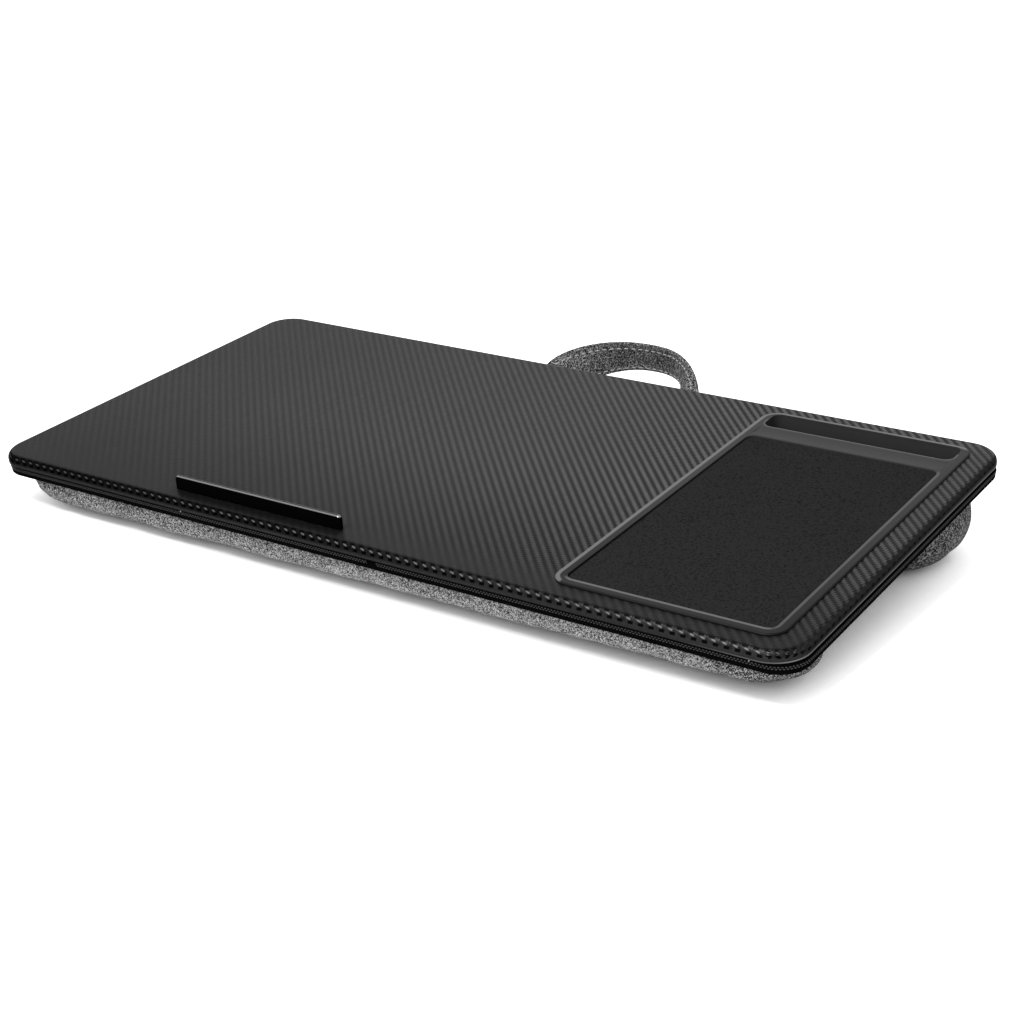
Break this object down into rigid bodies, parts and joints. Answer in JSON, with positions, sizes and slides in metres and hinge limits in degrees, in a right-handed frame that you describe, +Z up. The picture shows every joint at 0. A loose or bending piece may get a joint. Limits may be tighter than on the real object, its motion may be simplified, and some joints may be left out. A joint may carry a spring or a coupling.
{
  "type": "lap desk",
  "caption": "Wedge lap desk: wrapped board with a laptop ledge, an inset mouse pad and a phone slot at the right, two soft cushions under it and a sewn handle at the back.",
  "frame": {"origin": "on the surface that the desk stands on, under the middle of its bounding box, handle included", "axes": "+Z up, +X to the right along the desk's length, +Y towards the back where the handle is; the board slopes 5.5 degrees about X, back edge higher"},
  "size_m": [0.6, 0.3844, 0.0726],
  "materials": {
    "fibreboard": "raw medium-density fibreboard, hidden inside the covers",
    "carbon_vinyl": "black vinyl with a woven carbon pattern, satin, lighter diagonal bands of fine ribs",
    "moulded_black": "satin black moulded plastic with a very fine grain and bright edges",
    "pad_cloth_black": "smooth black knitted mouse pad cloth",
    "foam_black": "thin black foam rubber under the pad cloth",
    "gloss_black": "glossy black plastic",
    "zinc_steel": "zinc-plated steel screws",
    "woven_black": "black twill binding tape and base cloth",
    "heather_grey": "salt-and-pepper charcoal heather fabric",
    "polyester_fill": "loose polyester fill inside the cushion covers"
  },
  "bodies": {
    "desk": {"top_board": "fibreboard", "top_wrap": "carbon_vinyl", "tray": "moulded_black", "mouse_pad_foam": "foam_black", "mouse_pad_cloth": "pad_cloth_black", "device_ledge": "gloss_black", "base_board": "fibreboard", "base_cover": "woven_black", "edge_tape": "woven_black", "cushion_panel": "heather_grey", "front_cushion_cover": "heather_grey", "front_cushion_fill": "polyester_fill", "rear_cushion_cover": "heather_grey", "rear_cushion_fill": "polyester_fill", "handle_tab_left": "heather_grey", "handle_tab_right": "heather_grey", "ledge_screw_1": "zinc_steel", "ledge_screw_2": "zinc_steel", "ledge_screw_3": "zinc_steel", "tray_screw_1": "zinc_steel", "tray_screw_2": "zinc_steel", "tray_screw_3": "zinc_steel", "tray_screw_4": "zinc_steel", "tray_screw_5": "zinc_steel", "tray_screw_6": "zinc_steel", "base_screw_1": "zinc_steel", "base_screw_2": "zinc_steel", "base_screw_3": "zinc_steel", "base_screw_4": "zinc_steel", "base_screw_5": "zinc_steel", "base_screw_6": "zinc_steel"},
    "handle": {"handle_strap": "heather_grey"}
  },
  "joints": [
    {"name": "handle_lift", "type": "hinge", "parent": "desk", "child": "handle", "pos_m": [0, 0.11934, 0.05118], "axis": [1, 0, 0], "range_deg": [0, 60]}
  ]
}
